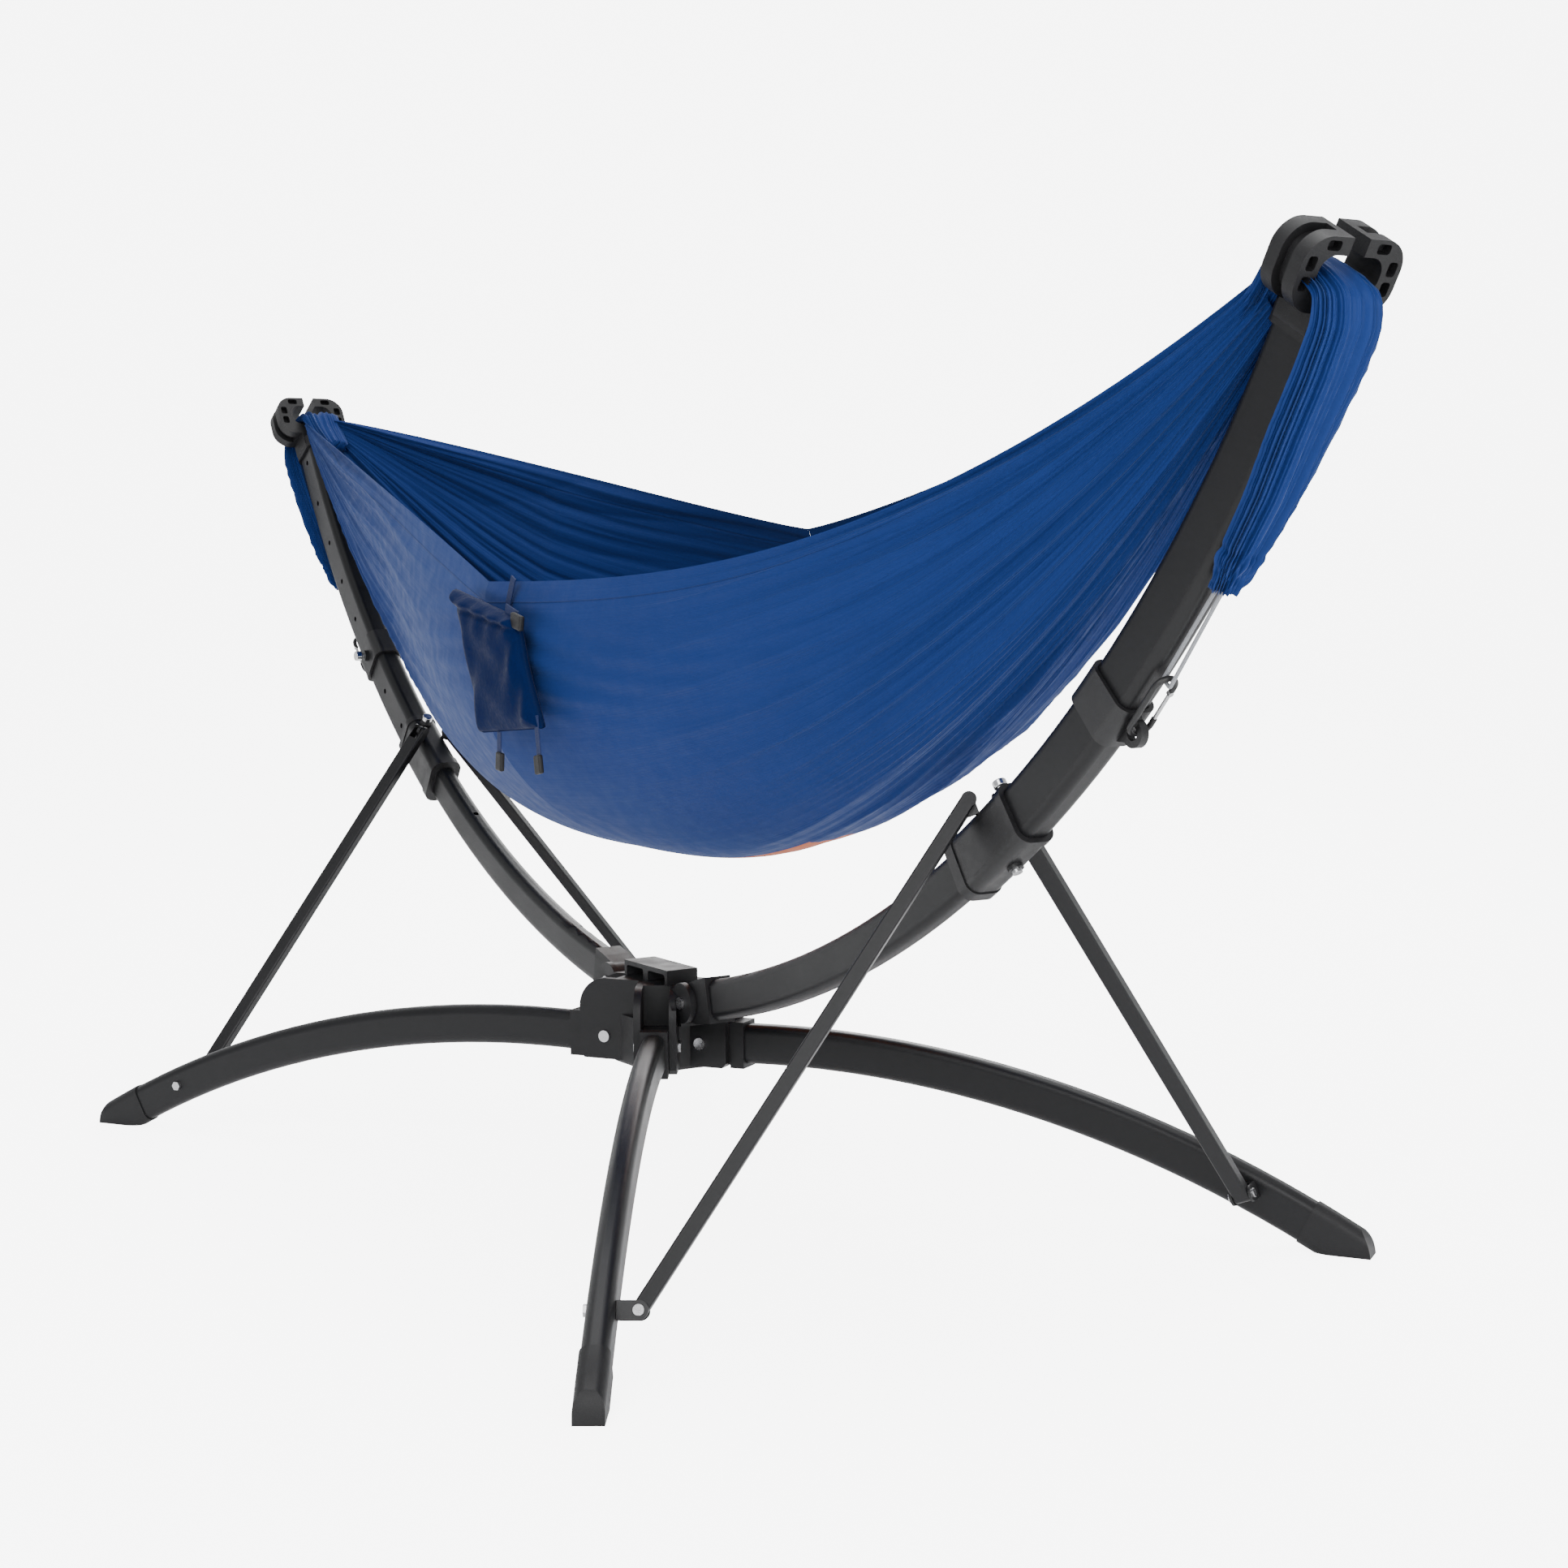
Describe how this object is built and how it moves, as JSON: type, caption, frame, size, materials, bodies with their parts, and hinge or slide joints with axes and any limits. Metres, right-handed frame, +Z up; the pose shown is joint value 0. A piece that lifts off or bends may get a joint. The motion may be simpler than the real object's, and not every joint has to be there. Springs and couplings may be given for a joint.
{
  "type": "hammock on stand",
  "caption": "Fabric hammock slung between the hooks of a folding four-legged stand with curved telescoping masts, braced by struts.",
  "frame": {"origin": "on the floor under the middle of the stand", "axes": "+X along the two masts, towards the mast nearer the viewer; +Z up"},
  "size_m": [2.436, 1.019, 1.0679],
  "materials": {
    "tube_paint": "satin powder coat",
    "black_plastic": "fine texture",
    "black_casting": "satin",
    "black_steel": "satin",
    "steel": "plain",
    "pull_knob": "polished",
    "cord": "braided",
    "hammock_fabric": "shiny woven nylon"
  },
  "bodies": {
    "stand": {"hub_body": "black_plastic", "hub_base_plate": "black_steel", "hub_bolts": "steel", "hammock_right": "hammock_fabric", "hammock_left": "hammock_fabric", "stuff_sack": "hammock_fabric"},
    "mast_right": {"mast_knuckle_right": "black_plastic", "mast_lower_tube_right": "tube_paint", "mast_upper_tube_right": "tube_paint", "strut_collar_right": "black_casting", "collar_bolt_right": "steel", "yoke_right": "black_plastic", "hammock_tail_right": "hammock_fabric"},
    "lock_pin_right": {"lock_pin_right": "pull_knob"},
    "ring_right": {"ring_collar_right": "black_casting", "carabiner_right": "black_steel", "cord_loop_right": "cord"},
    "ring_pin_right": {"ring_pin_right": "pull_knob"},
    "gate_right": {"carabiner_gate_right": "steel"},
    "mast_left": {"mast_knuckle_left": "black_plastic", "mast_lower_tube_left": "tube_paint", "mast_upper_tube_left": "tube_paint", "strut_collar_left": "black_casting", "collar_bolt_left": "steel", "yoke_left": "black_plastic", "hammock_tail_left": "hammock_fabric"},
    "lock_pin_left": {"lock_pin_left": "pull_knob"},
    "ring_left": {"ring_collar_left": "black_casting", "carabiner_left": "black_steel", "cord_loop_left": "cord"},
    "ring_pin_left": {"ring_pin_left": "pull_knob"},
    "gate_left": {"carabiner_gate_left": "steel"},
    "leg_front_right": {"leg_tube_front_right": "tube_paint", "leg_knuckle_front_right": "black_plastic", "leg_foot_front_right": "black_plastic", "swivel_bolt_front_right": "steel"},
    "bracket_front_right": {"strut_bracket_front_right": "black_steel", "bracket_pin_front_right": "steel"},
    "strut_front_right": {"strut_front_right": "tube_paint"},
    "leg_back_right": {"leg_tube_back_right": "tube_paint", "leg_knuckle_back_right": "black_plastic", "leg_foot_back_right": "black_plastic", "swivel_bolt_back_right": "steel"},
    "bracket_back_right": {"strut_bracket_back_right": "black_steel", "bracket_pin_back_right": "steel"},
    "strut_back_right": {"strut_back_right": "tube_paint"},
    "leg_front_left": {"leg_tube_front_left": "tube_paint", "leg_knuckle_front_left": "black_plastic", "leg_foot_front_left": "black_plastic", "swivel_bolt_front_left": "steel"},
    "bracket_front_left": {"strut_bracket_front_left": "black_steel", "bracket_pin_front_left": "steel"},
    "strut_front_left": {"strut_front_left": "tube_paint"},
    "leg_back_left": {"leg_tube_back_left": "tube_paint", "leg_knuckle_back_left": "black_plastic", "leg_foot_back_left": "black_plastic", "swivel_bolt_back_left": "steel"},
    "bracket_back_left": {"strut_bracket_back_left": "black_steel", "bracket_pin_back_left": "steel"},
    "strut_back_left": {"strut_back_left": "tube_paint"}
  },
  "joints": [
    {"name": "fold_right", "type": "hinge", "parent": "stand", "child": "mast_right", "pos_m": [0.09797, 0, 0.24683], "axis": [0, -1, 0], "range_deg": [0, 40], "deforming": ["hammock_right", "hammock_tail_right", "cord_loop_right"]},
    {"name": "lock_pull_right", "type": "slide", "parent": "mast_right", "child": "lock_pin_right", "axis": [-0.5955, 0, 0.8033], "range_m": [0, 0.008], "stiffness_N_per_m": 400, "springref_m": -0.004},
    {"name": "ring_slide_right", "type": "hinge", "parent": "mast_right", "child": "ring_right", "pos_m": [-0.1552, 0, 1.7389], "axis": [0, -1, 0], "range_deg": [-3, 3], "deforming": ["cord_loop_right", "hammock_tail_right"]},
    {"name": "ring_pull_right", "type": "slide", "parent": "ring_right", "child": "ring_pin_right", "axis": [0, 1, 0], "range_m": [0, 0.008], "stiffness_N_per_m": 400, "springref_m": -0.004},
    {"name": "gate_right", "type": "hinge", "parent": "ring_right", "child": "gate_right", "pos_m": [0.96492, 0.012, 0.66106], "axis": [-0.7413, 0, 0.6712], "range_deg": [0, 22], "stiffness_Nm_per_rad": 0.05, "springref_deg": -17.19},
    {"name": "fold_left", "type": "hinge", "parent": "stand", "child": "mast_left", "pos_m": [-0.09797, 0, 0.24683], "axis": [0, 1, 0], "range_deg": [0, 40], "deforming": ["hammock_left", "hammock_tail_left", "cord_loop_left"]},
    {"name": "lock_pull_left", "type": "slide", "parent": "mast_left", "child": "lock_pin_left", "axis": [0.5955, 0, 0.8033], "range_m": [0, 0.008], "stiffness_N_per_m": 400, "springref_m": -0.004},
    {"name": "ring_slide_left", "type": "hinge", "parent": "mast_left", "child": "ring_left", "pos_m": [0.1552, 0, 1.7389], "axis": [0, 1, 0], "range_deg": [-3, 3], "deforming": ["cord_loop_left", "hammock_tail_left"]},
    {"name": "ring_pull_left", "type": "slide", "parent": "ring_left", "child": "ring_pin_left", "axis": [0, -1, 0], "range_m": [0, 0.008], "stiffness_N_per_m": 400, "springref_m": -0.004},
    {"name": "gate_left", "type": "hinge", "parent": "ring_left", "child": "gate_left", "pos_m": [-0.96492, -0.012, 0.66106], "axis": [0.7413, 0, 0.6712], "range_deg": [0, 22], "stiffness_Nm_per_rad": 0.05, "springref_deg": -17.19},
    {"name": "leg_fold_front_right", "type": "hinge", "parent": "stand", "child": "leg_front_right", "pos_m": [0.05677, -0.03743, 0.1874], "axis": [-0.5505, -0.8348, 0], "range_deg": [0, 30.88]},
    {"name": "bracket_fold_front_right", "type": "hinge", "parent": "leg_front_right", "child": "bracket_front_right", "pos_m": [0.65514, -0.38886, 0.0649], "axis": [0.5505, 0.8348, 0], "range_deg": [0, 6.06]},
    {"name": "strut_fold_front_right", "type": "hinge", "parent": "bracket_front_right", "child": "strut_front_right", "pos_m": [0.65514, -0.38886, 0.0649], "axis": [0.7872, -0.519, 0.3331], "range_deg": [0, 18.88]},
    {"name": "leg_fold_back_right", "type": "hinge", "parent": "stand", "child": "leg_back_right", "pos_m": [0.05677, 0.03743, 0.1874], "axis": [0.5505, -0.8348, 0], "range_deg": [0, 30.88]},
    {"name": "bracket_fold_back_right", "type": "hinge", "parent": "leg_back_right", "child": "bracket_back_right", "pos_m": [0.65514, 0.38886, 0.0649], "axis": [-0.5505, 0.8348, 0], "range_deg": [0, 6.06]},
    {"name": "strut_fold_back_right", "type": "hinge", "parent": "bracket_back_right", "child": "strut_back_right", "pos_m": [0.65514, 0.38886, 0.0649], "axis": [-0.7872, -0.519, -0.3331], "range_deg": [0, 18.88]},
    {"name": "leg_fold_front_left", "type": "hinge", "parent": "stand", "child": "leg_front_left", "pos_m": [-0.05677, -0.03743, 0.1874], "axis": [-0.5505, 0.8348, 0], "range_deg": [0, 30.88]},
    {"name": "bracket_fold_front_left", "type": "hinge", "parent": "leg_front_left", "child": "bracket_front_left", "pos_m": [-0.65514, -0.38886, 0.0649], "axis": [0.5505, -0.8348, 0], "range_deg": [0, 6.06]},
    {"name": "strut_fold_front_left", "type": "hinge", "parent": "bracket_front_left", "child": "strut_front_left", "pos_m": [-0.65514, -0.38886, 0.0649], "axis": [0.7872, 0.519, -0.3331], "range_deg": [0, 18.88]},
    {"name": "leg_fold_back_left", "type": "hinge", "parent": "stand", "child": "leg_back_left", "pos_m": [-0.05677, 0.03743, 0.1874], "axis": [0.5505, 0.8348, 0], "range_deg": [0, 30.88]},
    {"name": "bracket_fold_back_left", "type": "hinge", "parent": "leg_back_left", "child": "bracket_back_left", "pos_m": [-0.65514, 0.38886, 0.0649], "axis": [-0.5505, -0.8348, 0], "range_deg": [0, 6.06]},
    {"name": "strut_fold_back_left", "type": "hinge", "parent": "bracket_back_left", "child": "strut_back_left", "pos_m": [-0.65514, 0.38886, 0.0649], "axis": [-0.7872, 0.519, 0.3331], "range_deg": [0, 18.88]}
  ],
  "couplings": [
    {"joint": "leg_fold_front_right", "follows": "fold_right", "ratio": 0.77175},
    {"joint": "bracket_fold_front_right", "follows": "fold_right", "ratio": 0.15127},
    {"joint": "strut_fold_front_right", "follows": "fold_right", "ratio": 0.47185},
    {"joint": "leg_fold_back_right", "follows": "fold_right", "ratio": 0.77175},
    {"joint": "bracket_fold_back_right", "follows": "fold_right", "ratio": 0.15127},
    {"joint": "strut_fold_back_right", "follows": "fold_right", "ratio": 0.47185},
    {"joint": "leg_fold_front_left", "follows": "fold_left", "ratio": 0.77175},
    {"joint": "bracket_fold_front_left", "follows": "fold_left", "ratio": 0.15127},
    {"joint": "strut_fold_front_left", "follows": "fold_left", "ratio": 0.47185},
    {"joint": "leg_fold_back_left", "follows": "fold_left", "ratio": 0.77175},
    {"joint": "bracket_fold_back_left", "follows": "fold_left", "ratio": 0.15127},
    {"joint": "strut_fold_back_left", "follows": "fold_left", "ratio": 0.47185}
  ]
}
